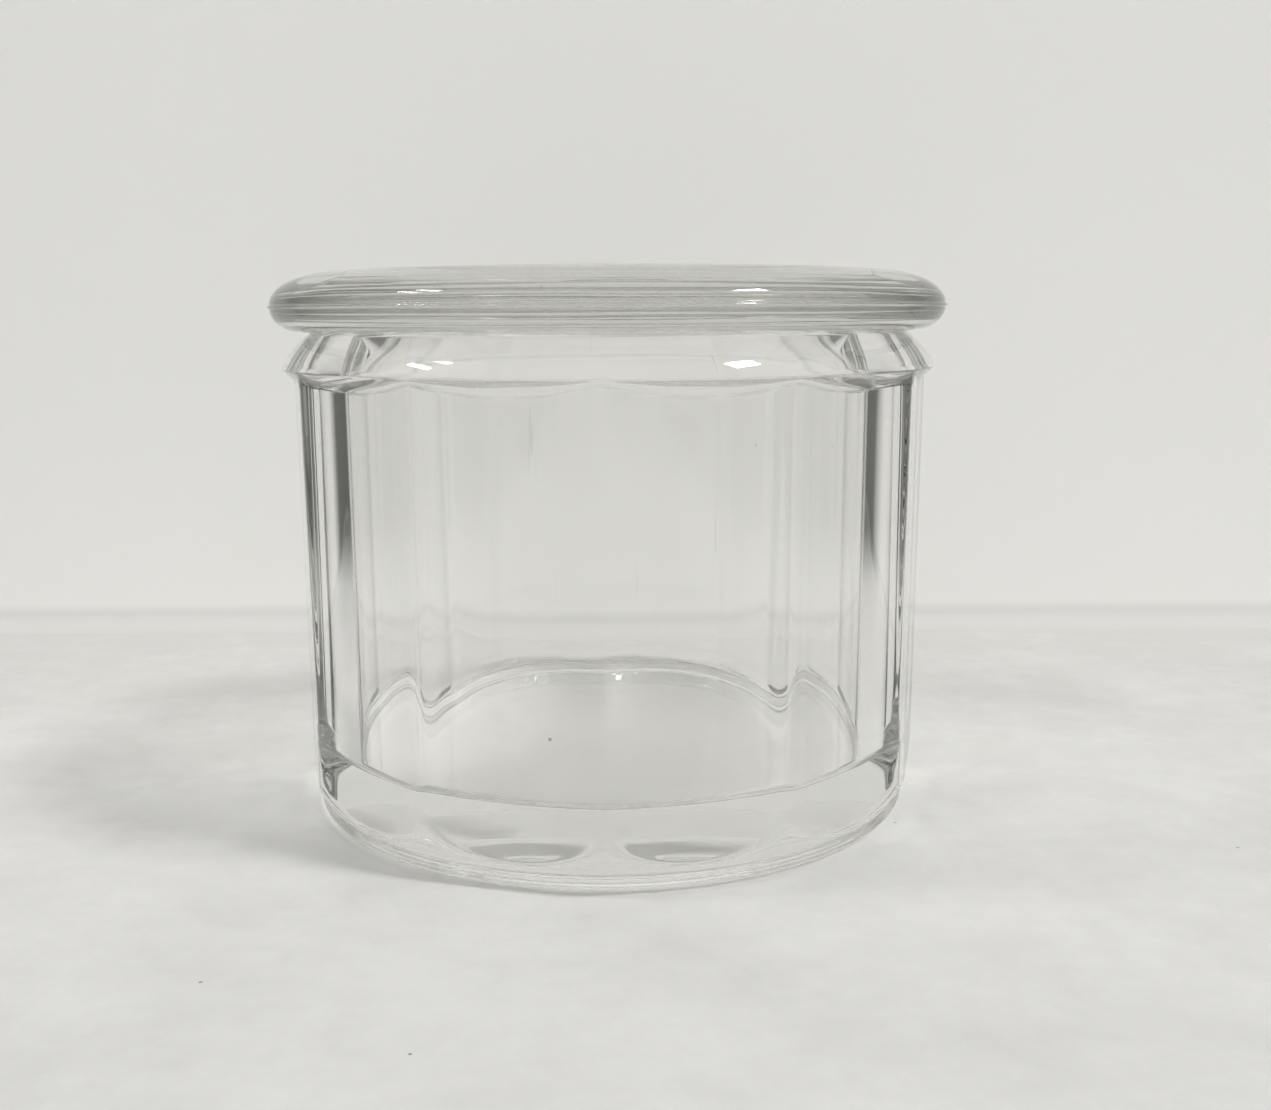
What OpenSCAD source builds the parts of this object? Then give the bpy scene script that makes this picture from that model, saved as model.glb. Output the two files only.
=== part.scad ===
// Panelled glass dish with a loose glass lid. Millimetres, +Z up.
// The origin is the middle of the underside, in the plane of the surface that the dish stands on.

/* [Dish] */
// Diameter of the panelled wall at its top, across opposite corners
wall_top_d = 90.6; // [80:0.1:110]
// Diameter of the panelled wall above the heel, across opposite corners
wall_foot_d = 89.8; // [80:0.1:110]
// Height from the table to the top of the rim
dish_h = 66.6; // [50:0.1:90]
// Number of flat panels round the wall
panels = 12; // [10:1:16]
// Diameter of the round inside
inner_d = 76; // [60:0.5:78]
// Thickness of the glass floor
floor_t = 9.6; // [6:0.1:14]
// Radius where the inside wall meets the floor
floor_r = 1.5; // [1:0.5:12]

/* [Rim] */
// Diameter of the ledge over the panels, the widest part of the dish
ledge_d = 91; // [90.8:0.1:112]
// Height from the ledge to the top of the rim
shoulder_h = 4.6; // [3:0.1:8]
// Diameter of the rim's flat top
rim_d = 83.4; // [82:0.1:100]

/* [Foot] */
// Diameter of the round band under the panels, at the table
foot_d = 85.4; // [80:0.1:100]
// Height of that round band
band_h = 3.6; // [2:0.1:5]
// Width of the ring that touches the table
foot_w = 4.5; // [3:0.1:8]
// Depth of the hollow inside that ring
recess_h = 0.8; // [0.3:0.1:1.5]

/* [Lid] */
// Diameter of the lid, without its mould seam
lid_d = 93.6; // [92:0.1:120]
// Thickness of the lid at its edge
lid_t = 8; // [7.6:0.1:12]
// How far the mould seam stands out of the edge
seam_h = 0.35; // [0.1:0.05:0.8]
// Height of the lid's widest line over its underside
seam_z = 3.4; // [3:0.1:5]
// Depth of the shallow plug that keeps the lid over the mouth
plug_h = 2.8; // [2:0.1:5]
// Gap between the plug and the mouth, all round
plug_gap = 1.2; // [0.5:0.1:3]

/* [Hidden] */
$fn = 96;
glass = [0.80, 0.83, 0.80];
dish_alpha = 0.45;
lid_alpha = 0.6;
wall_top_r = wall_top_d / 2;
wall_foot_r = wall_foot_d / 2;
inner_r = inner_d / 2;
ledge_r = ledge_d / 2;
rim_r = rim_d / 2;
foot_r = foot_d / 2;
lid_r = lid_d / 2;
// Height of the ledge, and of the thin upright edge under it
ledge_z = dish_h - shoulder_h;
ledge_edge = 0.3;
// Height where the heel leaves the upright band at the foot
heel_low_z = 2.6;
// Height where the heel has grown out to the full width of the wall
heel_top_z = 8;
// Radius of the small round between the heel and the table
heel_edge_r = 1.3;
// How much each corner between two panels is rounded off
rib_cut = 0.12;
// How far the shoulder bulges past a straight line
shoulder_bulge = 0.4;
// Radius of the edges at the mouth and the rim
mouth_r = 1;
// How far the lid's round edge reaches in from its widest line, over and under the seam
lid_round_top = 8.5;
lid_round_low = 4.2;
// Half of the seam's width where it leaves the edge
seam_w = 0.35;
// Radius of the edge round the plug
plug_edge_r = 1;
// Half of the angle that one panel spans, and the lean of a panel
half_panel = 180 / panels;
flat_top_r = wall_top_r * cos(half_panel);
flat_foot_r = wall_foot_r * cos(half_panel);
lean = atan((flat_top_r - flat_foot_r) / (ledge_z - heel_top_z));
// A length that reaches past the glass in any direction
reach = 30;

// Points along an oval arc round [cx, cz], for a turned profile
function oval(cx, cz, rx, rz, from, to, steps) =
    [for (i = [0:steps]) let (a = from + (to - from) * i / steps) [cx + rx * cos(a), cz + rz * sin(a)]];

// Points along a round arc
function arc(cx, cz, r, from, to, steps) = oval(cx, cz, r, r, from, to, steps);

// Points up the heel, which curves out from the foot to the wall
function heel(steps) =
    [for (i = [0:steps]) let (t = i / steps)
        [foot_r + (wall_foot_r - rib_cut - foot_r) * (1 - pow(1 - t, 2)),
         heel_low_z + (heel_top_z - heel_low_z) * t]];

// Points up the bulging shoulder, from the ledge to the rim
function shoulder(steps) =
    [for (i = [0:steps]) let (t = i / steps)
        [ledge_r + (rim_r - ledge_r) * t + shoulder_bulge * sin(180 * t), ledge_z + shoulder_h * t]];

// Turned outside of the dish, before the panels are cut
module dish_outside() {
    rotate_extrude()
        polygon(concat(
            [[0, 0]],
            arc(foot_r - heel_edge_r, heel_edge_r, heel_edge_r, -90, 0, 4),
            heel(8),
            [[wall_top_r - rib_cut, ledge_z - ledge_edge - (ledge_r - wall_top_r + rib_cut)],
             [ledge_r, ledge_z - ledge_edge]],
            shoulder(10),
            [[0, dish_h]]));
}

// Turned inside of the dish, open at the mouth
module dish_inside() {
    mouth_x = inner_r + mouth_r;
    rotate_extrude()
        polygon(concat(
            [[0, floor_t]],
            arc(inner_r - floor_r, floor_t + floor_r, floor_r, -90, 0, 10),
            arc(mouth_x, dish_h - mouth_r, mouth_r, 180, 90, 6),
            [[mouth_x, dish_h + mouth_r], [0, dish_h + mouth_r]]));
}

// Space that the panels may be cut from: over the round band, and under a cone that rises to the ledge
module panel_zone() {
    cone_z = ledge_z - ledge_edge;
    rotate_extrude()
        polygon([[0, band_h], [ledge_r + reach, band_h], [ledge_r + reach, cone_z + reach],
                 [0, cone_z - ledge_r]]);
}

// Everything outside one panel's flat, which leans out towards the top
module panel_cut() {
    translate([flat_foot_r, -reach, heel_top_z])
        rotate([0, lean, 0])
            translate([0, 0, -reach])
                cube([reach, 2 * reach, dish_h + 2 * reach]);
}

// Shallow hollow under the base, so that only a ring touches the table
module foot_recess() {
    translate([0, 0, -recess_h])
        cylinder(r1 = foot_r - foot_w, r2 = foot_r - foot_w - recess_h, h = 2 * recess_h);
}

module dish() {
    color(glass, dish_alpha)
        difference() {
            dish_outside();
            dish_inside();
            foot_recess();
            for (i = [0:panels - 1])
                rotate([0, 0, (2 * i + 1) * half_panel])
                    intersection() {
                        panel_cut();
                        panel_zone();
                    }
        }
}

module lid() {
    wide_z = dish_h + seam_z;
    plug_r = inner_r - plug_gap;
    color(glass, lid_alpha)
        rotate_extrude()
            polygon(concat(
                [[0, dish_h - plug_h]],
                arc(plug_r - plug_edge_r, dish_h - plug_h + plug_edge_r, plug_edge_r, -90, 0, 5),
                [[plug_r, dish_h]],
                oval(lid_r - lid_round_low, wide_z - seam_w, lid_round_low, seam_z - seam_w, -90, 0, 9),
                [[lid_r + seam_h, wide_z]],
                oval(lid_r - lid_round_top, wide_z + seam_w, lid_round_top, lid_t - seam_z - seam_w, 0, 90, 11),
                [[0, dish_h + lid_t]]));
}

dish();
lid();
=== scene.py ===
"""Panelled pressed-glass dish with a loose, thick glass lid, on a pale table.

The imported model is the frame: it sets every size and how the lid moves. This script replaces both
plain CAD nodes with finely cut glass meshes, gives them their finishes, and builds a plain studio.
"""

import logging
import math
from dataclasses import dataclass, field
from enum import Enum

import bpy
import numpy as np
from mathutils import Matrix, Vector


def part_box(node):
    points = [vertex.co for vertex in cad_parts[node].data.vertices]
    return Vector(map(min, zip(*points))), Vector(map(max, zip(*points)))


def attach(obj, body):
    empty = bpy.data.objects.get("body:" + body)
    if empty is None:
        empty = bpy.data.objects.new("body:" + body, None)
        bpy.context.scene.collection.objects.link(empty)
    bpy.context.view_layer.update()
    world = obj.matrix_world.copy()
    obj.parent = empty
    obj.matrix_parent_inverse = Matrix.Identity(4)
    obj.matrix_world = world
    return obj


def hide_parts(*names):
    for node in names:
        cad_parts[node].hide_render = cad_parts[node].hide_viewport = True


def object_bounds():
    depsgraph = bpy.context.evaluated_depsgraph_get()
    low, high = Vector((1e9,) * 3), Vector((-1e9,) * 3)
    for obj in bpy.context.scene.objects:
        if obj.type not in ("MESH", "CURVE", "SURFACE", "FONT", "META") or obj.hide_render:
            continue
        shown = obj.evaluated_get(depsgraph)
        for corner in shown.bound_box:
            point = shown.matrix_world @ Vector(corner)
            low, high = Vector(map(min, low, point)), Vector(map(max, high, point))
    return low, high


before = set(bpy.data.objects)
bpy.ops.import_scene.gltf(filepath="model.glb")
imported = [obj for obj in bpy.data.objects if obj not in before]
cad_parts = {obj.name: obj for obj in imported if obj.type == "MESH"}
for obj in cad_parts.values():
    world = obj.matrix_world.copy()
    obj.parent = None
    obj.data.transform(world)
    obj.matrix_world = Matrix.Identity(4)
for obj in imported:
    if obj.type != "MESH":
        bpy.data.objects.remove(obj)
CAD_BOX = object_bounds()

Point = tuple[float, float]
Colour = tuple[float, float, float]

MM = 0.001
TURN = 2 * math.pi
LAMP_COLOUR: Colour = (1.0, 0.998, 0.985)
# Painted shade: the dark colour that the table and the wall fall off to on both sides, standing in for the
# dim room beyond the lights.
PAINTED_ROOM_SHADE: Colour = (0.16, 0.16, 0.155)
DUST: Colour = (0.30, 0.30, 0.28)
TABLE_SPECK: Colour = (0.30, 0.29, 0.28)
LOG = logging.getLogger("glass_dish")


class Body(Enum):
    """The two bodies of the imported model."""

    DISH = "dish"
    LID = "lid"


# ---------------------------------------------------------------- helpers for turned glass


def smooth_min(first: np.ndarray, second: np.ndarray, blend: float) -> np.ndarray:
    """The smaller of two radii, with the crease between them rounded.

    Args:
        first: One set of radii.
        second: The other set.
        blend: Width of the rounding, in the radii's own unit.

    Returns:
        The blended radii.
    """
    share = np.clip(0.5 + 0.5 * (second - first) / blend, 0.0, 1.0)
    return second + (first - second) * share - blend * share * (1.0 - share)


def smooth_max(first: np.ndarray, second: np.ndarray, blend: float) -> np.ndarray:
    """The larger of two radii, with the crease between them rounded.

    Args:
        first: One set of radii.
        second: The other set.
        blend: Width of the rounding, in the radii's own unit.

    Returns:
        The blended radii.
    """
    return -smooth_min(-first, -second, blend)


def held(value: float) -> float:
    """The value, held between 0 and 1."""
    return min(max(value, 0.0), 1.0)


def spread(start: Point, end: Point, steps: int) -> list[Point]:
    """Evenly spaced profile points after start, up to and including end.

    Args:
        start: Radius and height of the first point, which is left out.
        end: Radius and height of the last point.
        steps: How many points to return.

    Returns:
        The points as (radius, height).
    """
    return [
        (
            start[0] + (end[0] - start[0]) * i / steps,
            start[1] + (end[1] - start[1]) * i / steps,
        )
        for i in range(1, steps + 1)
    ]


def oval(centre: Point, size: Point, start: float, end: float, steps: int) -> list[Point]:
    """Profile points along an oval arc, with both ends.

    Args:
        centre: Radius and height of the oval's centre.
        size: The oval's half width and half height.
        start: Angle of the first point, in degrees from straight outwards.
        end: Angle of the last point.
        steps: How many spans the arc is cut into.

    Returns:
        The points as (radius, height).
    """
    angles = [math.radians(start + (end - start) * i / steps) for i in range(steps + 1)]
    return [(centre[0] + size[0] * math.cos(a), centre[1] + size[1] * math.sin(a)) for a in angles]


def arc(centre: Point, radius: float, start: float, end: float, steps: int) -> list[Point]:
    """Profile points along a round arc, with both ends.

    Args:
        centre: Radius and height of the arc's centre.
        radius: The arc's radius.
        start: Angle of the first point, in degrees from straight outwards.
        end: Angle of the last point.
        steps: How many spans the arc is cut into.

    Returns:
        The points as (radius, height).
    """
    return oval(centre, (radius, radius), start, end, steps)


def ripple(angle: np.ndarray, waves: tuple[tuple[int, float, float], ...]) -> np.ndarray:
    """Sum of a few waves round the axis.

    Args:
        angle: Angles round the axis, in radians.
        waves: For each wave, how many crests it has, its height and its phase.

    Returns:
        The sum at each angle, in the heights' unit.
    """
    return sum(height * np.cos(crests * angle + phase) for crests, height, phase in waves)


def turned_mesh(name: str, angles: np.ndarray, radii: np.ndarray, heights: np.ndarray) -> bpy.types.Object:
    """A closed smooth object from rings of points round +Z, capped by a point at each end.

    Args:
        name: The object's name.
        angles: The angle of each column of points, in radians.
        radii: Radius of each point in millimetres, one row for each ring.
        heights: Height of each point in millimetres, the same shape as radii.

    Returns:
        The new object, in metres.
    """
    rings, columns = radii.shape
    x = radii * np.cos(angles) * MM
    y = radii * np.sin(angles) * MM
    z = heights * MM
    points = np.stack([x, y, z], axis=-1).reshape(-1, 3)
    ends = np.array([[0.0, 0.0, z[0].mean()], [0.0, 0.0, z[-1].mean()]])
    points = np.vstack([points, ends])
    first_end, last_end = rings * columns, rings * columns + 1

    here = np.arange(columns)
    after = (here + 1) % columns
    start = (np.arange(rings - 1) * columns)[:, None]
    quads = np.stack(
        [start + here, start + after, start + columns + after, start + columns + here], axis=-1
    ).reshape(-1, 4)
    last = (rings - 1) * columns
    faces = [tuple(int(v) for v in quad) for quad in quads]
    faces += [(first_end, int(b), int(a)) for a, b in zip(here, after)]
    faces += [(last_end, int(last + a), int(last + b)) for a, b in zip(here, after)]

    mesh = bpy.data.meshes.new(name)
    mesh.from_pydata([tuple(map(float, p)) for p in points], [], faces)
    mesh.polygons.foreach_set("use_smooth", [True] * len(mesh.polygons))
    mesh.update()
    made = bpy.data.objects.new(name, mesh)
    bpy.context.scene.collection.objects.link(made)
    return made


# ---------------------------------------------------------------- finishes


class Nodes:
    """A material's node tree, with short calls for the nodes that the finishes share."""

    def __init__(self, name: str) -> None:
        """Start an empty material.

        Args:
            name: The material's name.
        """
        self.material = bpy.data.materials.new(name)
        self.material.use_nodes = True
        self.tree = self.material.node_tree
        self.tree.nodes.clear()
        self.place = self.add("ShaderNodeTexCoord").outputs["Object"]

    def add(self, kind: str, **settings: object) -> bpy.types.Node:
        """Add a node and set its properties.

        Args:
            kind: The node's type.
            settings: Properties of the node, by name.

        Returns:
            The node.
        """
        node = self.tree.nodes.new(kind)
        for key, value in settings.items():
            setattr(node, key, value)
        return node

    def link(self, source: bpy.types.NodeSocket, target: bpy.types.NodeSocket) -> None:
        """Join an output to an input.

        Args:
            source: The output.
            target: The input.
        """
        self.tree.links.new(source, target)

    def stretched(self, scale: tuple[float, float, float]) -> bpy.types.NodeSocket:
        """The object's coordinates, scaled along each axis.

        Args:
            scale: Scale along X, Y and Z.

        Returns:
            The scaled coordinates.
        """
        mapping = self.add("ShaderNodeMapping", vector_type="POINT")
        mapping.inputs["Scale"].default_value = scale
        self.link(self.place, mapping.inputs["Vector"])
        return mapping.outputs["Vector"]

    def noise(self, scale: tuple[float, float, float], detail: float, rough: float) -> bpy.types.NodeSocket:
        """Noise from 0 to 1.

        Args:
            scale: How fine it is along X, Y and Z.
            detail: How many finer layers it has.
            rough: How strong the finer layers are.

        Returns:
            The noise value.
        """
        node = self.add("ShaderNodeTexNoise")
        node.inputs["Scale"].default_value = 1.0
        node.inputs["Detail"].default_value = detail
        node.inputs["Roughness"].default_value = rough
        self.link(self.stretched(scale), node.inputs["Vector"])
        return node.outputs["Fac"]

    def between(
        self, value: bpy.types.NodeSocket, low: float, high: float, to_low: float, to_high: float
    ) -> bpy.types.NodeSocket:
        """Map a value from one range to another, held at both ends.

        Args:
            value: The value to map.
            low: Start of its range.
            high: End of its range.
            to_low: What low becomes.
            to_high: What high becomes.

        Returns:
            The mapped value.
        """
        node = self.add("ShaderNodeMapRange", clamp=True)
        for key, number in (("From Min", low), ("From Max", high), ("To Min", to_low), ("To Max", to_high)):
            node.inputs[key].default_value = number
        self.link(value, node.inputs["Value"])
        return node.outputs["Result"]

    def math(
        self, operation: str, first: bpy.types.NodeSocket, second: bpy.types.NodeSocket | float
    ) -> bpy.types.NodeSocket:
        """One step of arithmetic.

        Args:
            operation: The Math node's operation.
            first: The first value.
            second: The second value, as a socket or a number.

        Returns:
            The result.
        """
        node = self.add("ShaderNodeMath", operation=operation)
        self.link(first, node.inputs[0])
        if isinstance(second, (int, float)):
            node.inputs[1].default_value = second
        else:
            self.link(second, node.inputs[1])
        return node.outputs["Value"]

    def specks(self, scale: float, size: float, share: float) -> bpy.types.NodeSocket:
        """Small round dots, 1 inside a dot and 0 elsewhere.

        Args:
            scale: How many cells there are to a metre.
            size: Radius of a dot, as a part of a cell.
            share: The part of all cells that hold a dot.

        Returns:
            The dots' mask.
        """
        cells = self.add("ShaderNodeTexVoronoi", feature="F1")
        cells.inputs["Scale"].default_value = scale
        self.link(self.place, cells.inputs["Vector"])
        near = self.math("LESS_THAN", cells.outputs["Distance"], size)
        split = self.add("ShaderNodeSeparateColor")
        self.link(cells.outputs["Color"], split.inputs["Color"])
        chosen = self.math("LESS_THAN", split.outputs["Red"], share)
        return self.math("MULTIPLY", near, chosen)

    def blended(
        self, share: bpy.types.NodeSocket, first: bpy.types.NodeSocket | Colour, second: Colour
    ) -> bpy.types.NodeSocket:
        """Mix two colours.

        Args:
            share: How much of the second colour shows, from 0 to 1.
            first: The first colour, as a socket or as numbers.
            second: The second colour.

        Returns:
            The mixed colour.
        """
        node = self.add("ShaderNodeMix", data_type="RGBA")
        self.link(share, node.inputs["Factor"])
        if isinstance(first, tuple):
            node.inputs["A"].default_value = (*first, 1.0)
        else:
            self.link(first, node.inputs["A"])
        node.inputs["B"].default_value = (*second, 1.0)
        return node.outputs["Result"]

    def along(self, axis: str) -> bpy.types.NodeSocket:
        """The object's own coordinate along one axis.

        Args:
            axis: X, Y or Z.

        Returns:
            The coordinate, in metres.
        """
        split = self.add("ShaderNodeSeparateXYZ")
        self.link(self.place, split.inputs["Vector"])
        return split.outputs[axis]

    def painted_side_shade(
        self, colour: bpy.types.NodeSocket, start: float, end: float, shade: Colour
    ) -> bpy.types.NodeSocket:
        """Paint shade: let a colour fall off to a dark colour on both sides of the middle, standing in for
        the dim room beyond the lights.

        Args:
            colour: The colour in the middle.
            start: Distance from the middle along X, in metres, where the fall starts.
            end: Distance where it ends.
            shade: The painted shade beyond it.

        Returns:
            The colour with its painted shade.
        """
        away = self.math("ABSOLUTE", self.along("X"), 0.0)
        return self.blended(self.between(away, start, end, 0.0, 1.0), colour, shade)

    def bump(self, height: bpy.types.NodeSocket, strength: float, depth: float) -> bpy.types.NodeSocket:
        """Turn a height into a surface normal.

        Args:
            height: The height map.
            strength: How much of it shows, from 0 to 1.
            depth: Height in metres of the map's full range.

        Returns:
            The normal.
        """
        node = self.add("ShaderNodeBump")
        node.inputs["Strength"].default_value = strength
        node.inputs["Distance"].default_value = depth
        self.link(height, node.inputs["Height"])
        return node.outputs["Normal"]


@dataclass(frozen=True)
class ClearGlass:
    """Clear pressed glass: faint tint, mould ripples, fine scratches, dust and seeds."""

    name: str
    tint: Colour
    depth_tint: Colour
    depth_density: float
    ripple_scale: tuple[float, float, float]
    ripple_depth: float
    scratch_scale: tuple[float, float, float]
    shadow: float
    shadow_edge: float = 1.4
    index: float = 1.5

    def material(self) -> bpy.types.Material:
        """Build the finish.

        Returns:
            The material.
        """
        nodes = Nodes(self.name)
        glass = nodes.add("ShaderNodeBsdfPrincipled")
        glass.inputs["IOR"].default_value = self.index
        glass.inputs["Transmission Weight"].default_value = 1.0

        ripples = nodes.noise(self.ripple_scale, 2.0, 0.45)
        scratches = nodes.noise(self.scratch_scale, 3.0, 0.6)
        lines = nodes.between(scratches, 0.70, 0.76, 0.0, 1.0)
        dots = nodes.specks(150.0, 0.035, 0.10)
        marks = nodes.math("MAXIMUM", nodes.math("MULTIPLY", lines, 0.35), dots)

        nodes.link(nodes.blended(marks, self.tint, DUST), glass.inputs["Base Color"])

        smears = nodes.noise((60.0, 60.0, 25.0), 3.0, 0.55)
        nodes.link(nodes.between(smears, 0.45, 0.80, 0.0, 0.03), glass.inputs["Roughness"])

        height = nodes.math("ADD", ripples, nodes.math("MULTIPLY", lines, 0.12))
        nodes.link(nodes.bump(height, 1.0, self.ripple_depth), glass.inputs["Normal"])

        facing = nodes.add("ShaderNodeLayerWeight")
        facing.inputs["Blend"].default_value = 0.5
        slant = nodes.math("POWER", facing.outputs["Facing"], self.shadow_edge)
        lost = nodes.math("MULTIPLY", slant, -self.shadow)
        clear = nodes.add("ShaderNodeBsdfTransparent")
        nodes.link(nodes.math("ADD", lost, self.shadow), clear.inputs["Color"])
        path = nodes.add("ShaderNodeLightPath")
        lets_lamps_through = nodes.add("ShaderNodeMixShader")
        nodes.link(path.outputs["Is Shadow Ray"], lets_lamps_through.inputs["Fac"])
        nodes.link(glass.outputs["BSDF"], lets_lamps_through.inputs[1])
        nodes.link(clear.outputs["BSDF"], lets_lamps_through.inputs[2])

        inside = nodes.add("ShaderNodeVolumeAbsorption")
        inside.inputs["Color"].default_value = (*self.depth_tint, 1.0)
        inside.inputs["Density"].default_value = self.depth_density
        output = nodes.add("ShaderNodeOutputMaterial")
        nodes.link(lets_lamps_through.outputs["Shader"], output.inputs["Surface"])
        nodes.link(inside.outputs["Volume"], output.inputs["Volume"])
        return nodes.material


@dataclass(frozen=True)
class PaleStone:
    """Pale honed table top, with soft clouds, faint pits and a few dark specks, painted shade towards the
    back and painted shade on both sides.
    """

    name: str
    light: Colour
    dark: Colour

    def material(self) -> bpy.types.Material:
        """Build the finish.

        Returns:
            The material.
        """
        nodes = Nodes(self.name)
        stone = nodes.add("ShaderNodeBsdfPrincipled")
        clouds = nodes.noise((28.0, 34.0, 28.0), 6.0, 0.66)
        grain = nodes.noise((220.0, 220.0, 220.0), 4.0, 0.6)
        fine = nodes.between(grain, 0.3, 0.7, -0.16, 0.16)
        tone = nodes.math("ADD", nodes.between(clouds, 0.36, 0.68, 0.0, 0.75), fine)
        # Painted shade: the table darkens towards the back, by the wall.
        painted_back_shade = nodes.between(nodes.along("Y"), 0.0, 0.10, 0.0, 0.8)
        clouds_and_back_shade = nodes.blended(nodes.math("ADD", tone, painted_back_shade), self.light, self.dark)
        specked = nodes.blended(nodes.specks(110.0, 0.024, 0.45), clouds_and_back_shade, TABLE_SPECK)
        # Painted shade: the table falls off to a dark colour on both sides.
        painted_side_shade = nodes.painted_side_shade(specked, 0.20, 0.30, PAINTED_ROOM_SHADE)
        nodes.link(painted_side_shade, stone.inputs["Base Color"])
        nodes.link(nodes.between(clouds, 0.3, 0.7, 0.42, 0.6), stone.inputs["Roughness"])
        nodes.link(nodes.bump(grain, 0.25, 0.0003), stone.inputs["Normal"])

        output = nodes.add("ShaderNodeOutputMaterial")
        nodes.link(stone.outputs["BSDF"], output.inputs["Surface"])
        return nodes.material


@dataclass(frozen=True)
class MattPaper:
    """Matt paper backdrop, which takes on the table's darker tone where it meets the table, a painted dark
    line of shade along the corner, and which has painted shade on both sides.

    It has one face only, so that it doesn't hide the dish from behind.
    """

    name: str
    colour: Colour
    foot: Colour
    foot_height: float = 0.006

    def material(self) -> bpy.types.Material:
        """Build the finish.

        Returns:
            The material.
        """
        nodes = Nodes(self.name)
        paper = nodes.add("ShaderNodeBsdfPrincipled")
        # Painted shade: the foot blends into the table's darker tone, a thin dark line along the corner.
        low = nodes.between(nodes.along("Z"), 0.0, self.foot_height, 1.0, 0.0)
        paper_and_corner_shade = nodes.blended(low, self.colour, self.foot)
        # Painted shade: the paper falls off to a dark colour on both sides.
        painted_side_shade = nodes.painted_side_shade(paper_and_corner_shade, 0.17, 0.24, PAINTED_ROOM_SHADE)
        nodes.link(painted_side_shade, paper.inputs["Base Color"])
        paper.inputs["Roughness"].default_value = 0.9
        grain = nodes.noise((400.0, 400.0, 400.0), 2.0, 0.5)
        nodes.link(nodes.bump(grain, 0.2, 0.0001), paper.inputs["Normal"])
        one_sided = nodes.add("ShaderNodeMixShader")
        nodes.link(nodes.add("ShaderNodeNewGeometry").outputs["Backfacing"], one_sided.inputs["Fac"])
        nodes.link(paper.outputs["BSDF"], one_sided.inputs[1])
        nodes.link(nodes.add("ShaderNodeBsdfTransparent").outputs["BSDF"], one_sided.inputs[2])
        output = nodes.add("ShaderNodeOutputMaterial")
        nodes.link(one_sided.outputs["Shader"], output.inputs["Surface"])
        return nodes.material


DISH_GLASS = ClearGlass(
    name="dish_glass",
    tint=(0.990, 0.990, 0.984),
    depth_tint=(0.76, 0.765, 0.73),
    depth_density=5.0,
    ripple_scale=(70.0, 70.0, 12.0),
    ripple_depth=0.00002,
    scratch_scale=(420.0, 420.0, 22.0),
    shadow=0.80,
)
LID_GLASS = ClearGlass(
    name="lid_glass",
    tint=(0.985, 0.985, 0.978),
    depth_tint=(0.70, 0.705, 0.67),
    depth_density=8.0,
    ripple_scale=(22.0, 22.0, 260.0),
    ripple_depth=0.00005,
    scratch_scale=(60.0, 60.0, 900.0),
    shadow=0.90,
)
TABLE_STONE = PaleStone(name="table_stone", light=(0.71, 0.707, 0.692), dark=(0.60, 0.596, 0.58))
# The wall's foot takes the table's darker tone, which paints a dark line of shade along the corner.
WALL_PAPER = MattPaper(name="wall_paper", colour=(0.94, 0.937, 0.918), foot=TABLE_STONE.dark)


# ---------------------------------------------------------------- the dish


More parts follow.
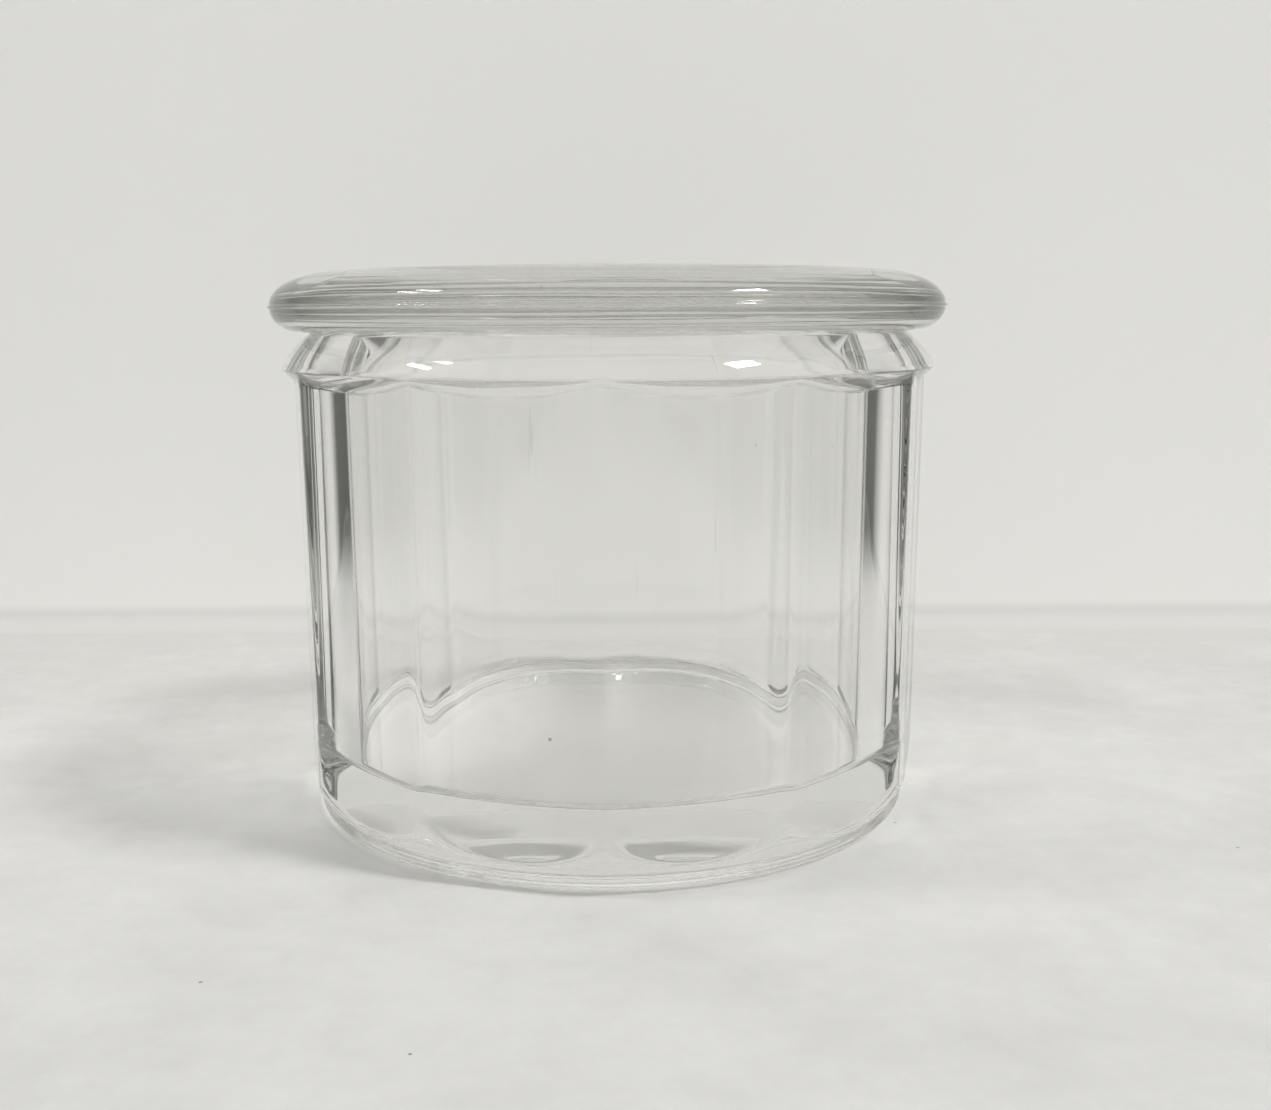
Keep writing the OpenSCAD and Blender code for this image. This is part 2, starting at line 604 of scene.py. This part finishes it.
@dataclass
class Dish:
    """The panelled dish. Sizes are in millimetres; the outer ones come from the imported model."""

    top: float = field(default_factory=lambda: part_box("dish")[1][2] / MM)
    ledge_r: float = field(default_factory=lambda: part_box("dish")[1][0] / MM)
    panels: int = 12
    wall_top_r: float = 45.3
    wall_foot_r: float = 44.9
    inner_r: float = 38.0
    floor_t: float = 9.6
    floor_r: float = 1.5
    shoulder_h: float = 4.6
    rim_r: float = 41.7
    mouth_r: float = 1.0
    foot_r: float = 42.7
    foot_edge_r: float = 1.3
    band_h: float = 3.6
    heel_low: float = 2.6
    heel_top: float = 8.0
    foot_w: float = 4.5
    recess_h: float = 0.8
    corner_r: float = 2.2
    rib_cut: float = 0.12
    shoulder_bulge: float = 0.4
    ledge_edge: float = 0.3
    crease: float = 0.35
    nose_r: float = 0.18
    streak_fade_top: float = 10.0
    streak_fade_low: float = 8.0
    streak_clear: float = 2.0
    columns_per_panel: int = 36

    def angles(self) -> np.ndarray:
        """Column angles in radians, closer together near the panels' corners.

        Returns:
            One angle for each column of points.
        """
        count = self.columns_per_panel
        step = np.arange(count) / count
        crowded = step - 0.75 * np.sin(TURN * step) / TURN
        panel = TURN / self.panels
        return np.concatenate([(i + crowded) * panel for i in range(self.panels)])

    def panel_radius(self, angles: np.ndarray, height: float) -> np.ndarray:
        """Radius of the panelled wall, a polygon with rounded corners.

        Args:
            angles: Column angles; a corner lies at 0 and every panel's span after it.
            height: Height of the ring.

        Returns:
            The radius in each column.
        """
        half = math.pi / self.panels
        span = (height - self.heel_top) / (self.top - self.shoulder_h - self.heel_top)
        across = self.wall_foot_r + (self.wall_top_r - self.wall_foot_r) * span
        flat = across * math.cos(half)
        off_middle = np.mod(angles, 2 * half) - half
        off_corner = half - np.abs(off_middle)
        centre = (flat - self.corner_r) / math.cos(half)
        inside = np.maximum(self.corner_r**2 - (centre * np.sin(off_corner)) ** 2, 0.0)
        rounded = centre * np.cos(off_corner) + np.sqrt(inside)
        touch = math.atan2(self.corner_r * math.sin(half), centre + self.corner_r * math.cos(half))
        return np.where(off_corner < touch, rounded, flat / np.cos(off_middle))

    def heel_radius(self, height: float) -> float:
        """Radius of the turned heel, which curves out from the foot to the wall.

        Args:
            height: Height over the table.

        Returns:
            The radius.
        """
        share = held((height - self.heel_low) / (self.heel_top - self.heel_low))
        widest = self.wall_foot_r - self.rib_cut
        return self.foot_r + (widest - self.foot_r) * (1 - (1 - share) ** 2)

    def wall_ring(self, angles: np.ndarray, height: float) -> np.ndarray:
        """Radii of one ring between the foot and the ledge.

        Args:
            angles: Column angles.
            height: Height of the ring.

        Returns:
            The radius in each column.
        """
        cone_z = self.top - self.shoulder_h - self.ledge_edge
        wall = self.heel_radius(height)
        if height > self.heel_top:
            span = (height - self.heel_top) / (cone_z - self.heel_top)
            wall += (self.wall_top_r - self.wall_foot_r) * span
        turned = np.full_like(angles, wall)
        cut = smooth_min(turned, self.panel_radius(angles, height), self.crease)
        share = held((height - self.band_h) / self.crease + 0.5)
        share = share * share * (3 - 2 * share)
        body = turned + (cut - turned) * share
        cone = np.full_like(angles, self.ledge_r - (cone_z - height))
        return np.minimum(smooth_max(body, cone, 2 * self.crease), self.ledge_r)

    def underside(self) -> list[Point]:
        """Profile from the middle of the underside out to the foot's round edge.

        Returns:
            The points as (radius, height).
        """
        ring_in = self.foot_r - self.foot_w
        hollow = [(r, self.recess_h) for r in np.linspace(2.0, ring_in - 2.5, 14)]
        bend = arc((ring_in - 1.6, self.recess_h - 1.2), 1.2, 90, 40, 5)
        lip = arc((ring_in + 0.6, 0.9), 0.9, 215, 270, 5)
        bottom = spread(lip[-1], (self.foot_r - self.foot_edge_r, 0.0), 6)
        edge = arc((self.foot_r - self.foot_edge_r, self.foot_edge_r), self.foot_edge_r, -90, 0, 12)
        return hollow + bend + lip + bottom + edge[1:]

    def wall_heights(self) -> list[float]:
        """Heights of the wall's rings, closest at the creases of the foot and the panels' heads.

        Returns:
            The heights in rising order.
        """
        cone_z = self.top - self.shoulder_h - self.ledge_edge
        low = np.arange(self.foot_edge_r + 0.15, self.band_h - 0.3, 0.15)
        crease = np.arange(self.band_h - 0.3, self.band_h + 0.3, 0.04)
        heel = np.arange(self.band_h + 0.3, self.heel_top + 1.0, 0.12)
        wall = np.linspace(self.heel_top + 1.0, cone_z - 4.0, 60)
        head = np.arange(cone_z - 3.9, cone_z, 0.08)
        return [*low, *crease, *heel, *wall, *head]

    def rim(self) -> list[Point]:
        """Profile from the ledge, over the shoulder and rim, to the mouth.

        Returns:
            The points as (radius, height).
        """
        ledge_z = self.top - self.shoulder_h
        steps = 26
        shoulder = [
            (
                self.ledge_r + (self.rim_r - self.ledge_r) * i / steps
                + self.shoulder_bulge * math.sin(math.pi * i / steps),
                ledge_z + self.shoulder_h * i / steps,
            )
            for i in range(steps)
        ]
        nose = arc((self.ledge_r - self.nose_r, ledge_z - self.nose_r), self.nose_r, -45, 30, 6)
        corner = [
            (self.rim_r + 0.10, self.top - 0.14),
            (self.rim_r - 0.02, self.top - 0.05),
            (self.rim_r - 0.2, self.top),
        ]
        mouth_x = self.inner_r + self.mouth_r
        flat = spread(corner[-1], (mouth_x, self.top), 6)
        mouth = arc((mouth_x, self.top - self.mouth_r), self.mouth_r, 90, 180, 14)
        return nose + shoulder[1:] + corner + flat + mouth[1:]

    def inside(self) -> list[Point]:
        """Profile down the inside wall, round the floor's edge and in to the middle.

        Returns:
            The points as (radius, height).
        """
        foot = (self.inner_r, self.floor_t + self.floor_r)
        wall = spread((self.inner_r, self.top - self.mouth_r), foot, 60)
        bend = arc((self.inner_r - self.floor_r, foot[1]), self.floor_r, 360, 270, 40)
        floor = spread(bend[-1], (1.0, self.floor_t), 24)
        return wall + bend[1:] + floor

    def build(self) -> bpy.types.Object:
        """Build the dish as one closed skin, from the underside round to the inside floor.

        Returns:
            The dish.
        """
        angles = self.angles()
        radii: list[np.ndarray] = []
        heights: list[np.ndarray] = []

        def turned(points: list[Point]) -> None:
            """Add one round ring for each profile point.

            Args:
                points: The points as (radius, height).
            """
            for radius, height in points:
                radii.append(np.full_like(angles, radius))
                heights.append(np.full_like(angles, height))

        turned(self.underside())
        for height in self.wall_heights():
            radii.append(self.wall_ring(angles, height))
            heights.append(np.full_like(angles, height))
        turned(self.rim())
        streaks = ripple(angles, ((5, 0.05, 0.4), (11, 0.03, 2.1), (23, 0.012, 1.2), (41, 0.007, 0.3)))
        for radius, height in self.inside():
            below_mouth = held((self.top - height) / self.streak_fade_top)
            over_floor = held((height - self.floor_t - self.streak_clear) / self.streak_fade_low)
            radii.append(radius + streaks * below_mouth * over_floor)
            heights.append(np.full_like(angles, height))
        return turned_mesh("dish_glass_body", angles, np.array(radii), np.array(heights))

    def dress(self, made: bpy.types.Object) -> None:
        """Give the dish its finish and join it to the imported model.

        Args:
            made: The dish.
        """
        made.data.materials.append(DISH_GLASS.material())
        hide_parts("dish")
        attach(made, Body.DISH.value)


# ---------------------------------------------------------------- the lid


@dataclass
class Lid:
    """The thick loose lid. Sizes are in millimetres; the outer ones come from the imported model.

    A hair of air under the seat keeps the two glass faces apart, since faces in one plane render black.
    """

    low: float = field(default_factory=lambda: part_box("lid")[0][2] / MM)
    top: float = field(default_factory=lambda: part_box("lid")[1][2] / MM)
    reach: float = field(default_factory=lambda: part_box("lid")[1][0] / MM)
    air: float = 0.05
    rest_z: float = field(default_factory=lambda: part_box("dish")[1][2] / MM)
    seam: float = 0.35
    seam_z: float = 3.4
    seam_w: float = 0.35
    round_top: float = 8.5
    round_low: float = 4.2
    plug_r: float = 36.8
    plug_edge_r: float = 1.0
    columns: int = 480

    @property
    def seat(self) -> float:
        """Height of the face that rests on the dish's rim."""
        return self.rest_z + self.air

    def profile(self) -> list[Point]:
        """Profile from the middle of the underside round the edge to the middle of the top.

        Returns:
            The points as (radius, height).
        """
        out = self.reach - self.seam
        wide_z = self.rest_z + self.seam_z
        plug_base = (self.plug_r - self.plug_edge_r, self.low)
        under = spread((0.0, self.low), plug_base, 24)
        plug = arc((plug_base[0], self.low + self.plug_edge_r), self.plug_edge_r, -90, 0, 12)
        side = spread(plug[-1], (self.plug_r, self.seat - 0.25), 8)
        root = arc((self.plug_r + 0.25, self.seat - 0.25), 0.25, 180, 90, 5)
        seat = spread(root[-1], (out - self.round_low, self.seat), 16)
        drop = self.seam_z - self.seam_w - self.air
        lower = oval((out - self.round_low, wide_z - self.seam_w), (self.round_low, drop), -90, 0, 44)
        flank = ((0.12, 0.8), (0.45, 0.4), (0.92, 0.1))
        fin = [(out + self.seam * share, wide_z - off * self.seam_w) for share, off in flank]
        fin += [(out + self.seam * share, wide_z + off * self.seam_w) for share, off in reversed(flank)]
        rise = self.top - wide_z - self.seam_w
        upper = oval((out - self.round_top, wide_z + self.seam_w), (self.round_top, rise), 0, 90, 60)
        cover = spread(upper[-1], (1.0, self.top), 50)
        return under + plug[1:] + side + root[1:] + seat + lower[1:] + fin + upper + cover

    def build(self) -> bpy.types.Object:
        """Build the lid as one closed skin.

        Returns:
            The lid.
        """
        angles = np.arange(self.columns) / self.columns * TURN
        profile = np.array(self.profile())
        radii = np.repeat(profile[:, :1], self.columns, axis=1)
        heights = np.repeat(profile[:, 1:], self.columns, axis=1)
        round_edge = np.clip((profile[:, 0] - (self.reach - 5.0)) / 3.0, 0.0, 1.0)[:, None]
        above = (profile[:, 1:] > self.seat + 0.4).astype(float)
        sway = ripple(angles, ((3, 0.05, 1.0), (7, 0.03, 0.2), (13, 0.02, 2.5)))
        climb = ripple(angles, ((2, 0.5, 0.7), (5, 0.35, 1.9), (9, 0.2, 0.1)))
        grooves = np.cos(heights * 2.3 + climb * 2.0) * 0.016 + np.cos(heights * 5.1 - climb * 3.0) * 0.005
        fade = np.clip((self.reach - self.seam * 0.5 - radii) / 0.6, 0.0, 1.0)
        radii = radii + (grooves - 0.03 - np.abs(sway) * 0.5) * round_edge * above * fade
        return turned_mesh("lid_glass_disc", angles, radii, heights)

    def dress(self, made: bpy.types.Object) -> None:
        """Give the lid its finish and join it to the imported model.

        Args:
            made: The lid.
        """
        made.data.materials.append(LID_GLASS.material())
        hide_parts("lid")
        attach(made, Body.LID.value)


# ---------------------------------------------------------------- the studio


@dataclass
class SoftLight:
    """One rectangular studio light, aimed at the dish."""

    name: str
    place: tuple[float, float, float]
    width: float
    height: float
    watts: float

    def build(self) -> bpy.types.Object:
        """Build the light.

        Returns:
            The light.
        """
        data = bpy.data.lights.new(self.name, "AREA")
        data.shape = "RECTANGLE"
        data.size = self.width
        data.size_y = self.height
        data.energy = self.watts
        data.color = LAMP_COLOUR
        made = bpy.data.objects.new(self.name, data)
        made.location = self.place
        from_target = made.location - self.target()
        made.rotation_euler = from_target.to_track_quat("Z", "Y").to_euler()
        bpy.context.scene.collection.objects.link(made)
        return made

    @staticmethod
    def target() -> Vector:
        """The point that every light is aimed at.

        Returns:
            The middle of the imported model.
        """
        low, high = CAD_BOX
        return (Vector(low) + Vector(high)) / 2


@dataclass
class Studio:
    """Table, wall, lights, surroundings and camera. Sizes are in metres."""

    table_drop: float = 0.00006
    table_half: float = 1.2
    wall_back: float = 0.095
    sweep_r: float = 0.004
    wall_height: float = 1.3
    up: tuple[float, float, float] = (0.0, 0.0, 1.0)
    front: tuple[float, float, float] = (0.0, -1.0, 0.0)
    from_all: float = 0.22
    from_above: float = 0.5
    from_front: float = 0.22
    lens: float = 38.7
    eye: tuple[float, float, float] = (0.0038, -0.1977, 0.0689)
    look_down: float = 10.0
    roll: float = 0.25
    glass_bounces: int = 16

    def table(self) -> bpy.types.Object:
        """Build the table top.

        Returns:
            The table.
        """
        return self.sheet(
            "table",
            [(-self.table_half, -self.table_drop), (self.table_half, -self.table_drop)],
            TABLE_STONE.material(),
        )

    def wall(self) -> bpy.types.Object:
        """Build the wall, which curves up from the table top behind the dish.

        Returns:
            The wall.
        """
        steps = 16
        curve = [
            (
                self.wall_back + self.sweep_r * math.sin(math.pi / 2 * i / steps),
                -self.table_drop + self.sweep_r * (1 - math.cos(math.pi / 2 * i / steps)),
            )
            for i in range(steps + 1)
        ]
        top = (self.wall_back + self.sweep_r, self.wall_height)
        return self.sheet("wall", [*curve, top], WALL_PAPER.material())

    def sheet(self, name: str, profile: list[Point], material: bpy.types.Material) -> bpy.types.Object:
        """A wide sheet along X that follows a profile of depth and height.

        Args:
            name: The object's name.
            profile: Points as (y, z).
            material: Its finish.

        Returns:
            The sheet.
        """
        points = [(x, y, z) for y, z in profile for x in (-self.table_half, self.table_half)]
        faces = [(2 * i, 2 * i + 1, 2 * i + 3, 2 * i + 2) for i in range(len(profile) - 1)]
        mesh = bpy.data.meshes.new(name)
        mesh.from_pydata(points, [], faces)
        mesh.polygons.foreach_set("use_smooth", [True] * len(faces))
        mesh.materials.append(material)
        mesh.update()
        made = bpy.data.objects.new(name, mesh)
        bpy.context.scene.collection.objects.link(made)
        return made

    def lights(self) -> list[bpy.types.Object]:
        """Build the lights: a key high on the right, and two small ones on the left for the glints.

        Returns:
            The lights.
        """
        lamps = (
            SoftLight("right_key", (0.78, -0.35, 1.22), 0.21, 0.145, 10.0),
            SoftLight("left_key", (-0.50, -0.08, 0.68), 0.12, 0.035, 0.55),
            SoftLight("left_strip", (-0.54, -0.08, 0.58), 0.12, 0.03, 0.35),
        )
        return [lamp.build() for lamp in lamps]

    def surroundings(self) -> None:
        """Light the room: dim all round, brighter overhead and towards the front."""
        world = bpy.data.worlds.new("room")
        world.use_nodes = True
        tree = world.node_tree
        tree.nodes.clear()
        place = tree.nodes.new("ShaderNodeTexCoord")
        total: bpy.types.NodeSocket | None = None
        for axis, share in ((self.up, self.from_above), (self.front, self.from_front)):
            toward = tree.nodes.new("ShaderNodeVectorMath")
            toward.operation = "DOT_PRODUCT"
            toward.inputs[1].default_value = axis
            tree.links.new(place.outputs["Generated"], toward.inputs[0])
            ramp = tree.nodes.new("ShaderNodeMapRange")
            ramp.inputs["To Max"].default_value = share
            tree.links.new(toward.outputs["Value"], ramp.inputs["Value"])
            step = tree.nodes.new("ShaderNodeMath")
            step.operation = "ADD"
            step.inputs[1].default_value = self.from_all
            tree.links.new(ramp.outputs["Result"], step.inputs[0])
            if total is not None:
                tree.links.new(total, step.inputs[1])
            total = step.outputs["Value"]
        glow = tree.nodes.new("ShaderNodeBackground")
        glow.inputs["Color"].default_value = (*LAMP_COLOUR, 1.0)
        tree.links.new(total, glow.inputs["Strength"])
        output = tree.nodes.new("ShaderNodeOutputWorld")
        tree.links.new(glow.outputs["Background"], output.inputs["Surface"])
        bpy.context.scene.world = world

    def camera(self) -> bpy.types.Object:
        """Build the camera at the height of the lid, looking a little down.

        Returns:
            The camera.
        """
        data = bpy.data.cameras.new("camera")
        data.sensor_width = 36.0
        data.lens = self.lens
        data.clip_start = 0.005
        made = bpy.data.objects.new("camera", data)
        made.location = self.eye
        made.rotation_euler = (math.radians(90 - self.look_down), math.radians(self.roll), 0.0)
        bpy.context.scene.collection.objects.link(made)
        bpy.context.scene.camera = made
        return made

    def colour(self) -> None:
        """Set plain display colours and let light pass through many layers of glass."""
        scene = bpy.context.scene
        scene.view_settings.view_transform = "Standard"
        scene.view_settings.look = "None"
        scene.cycles.max_bounces = self.glass_bounces + 2
        scene.cycles.transmission_bounces = self.glass_bounces
        scene.cycles.glossy_bounces = self.glass_bounces
        scene.cycles.diffuse_bounces = 4
        scene.cycles.transparent_max_bounces = 24
        scene.cycles.caustics_reflective = False
        scene.cycles.caustics_refractive = True
        scene.cycles.blur_glossy = 0.3
        scene.cycles.sample_clamp_indirect = 4.0
        scene.cycles.use_denoising = True


def main() -> None:
    """Build the studio, then the dish and the lid, and report each piece."""
    logging.basicConfig(level=logging.INFO, format="%(message)s")
    studio = Studio()
    studio.camera()
    studio.table()
    studio.wall()
    studio.lights()
    studio.surroundings()
    studio.colour()
    for part in (Dish(), Lid()):
        made = part.build()
        part.dress(made)
        LOG.info("%s: %d points, %d faces", made.name, len(made.data.vertices), len(made.data.polygons))


if __name__ == "__main__":
    main()
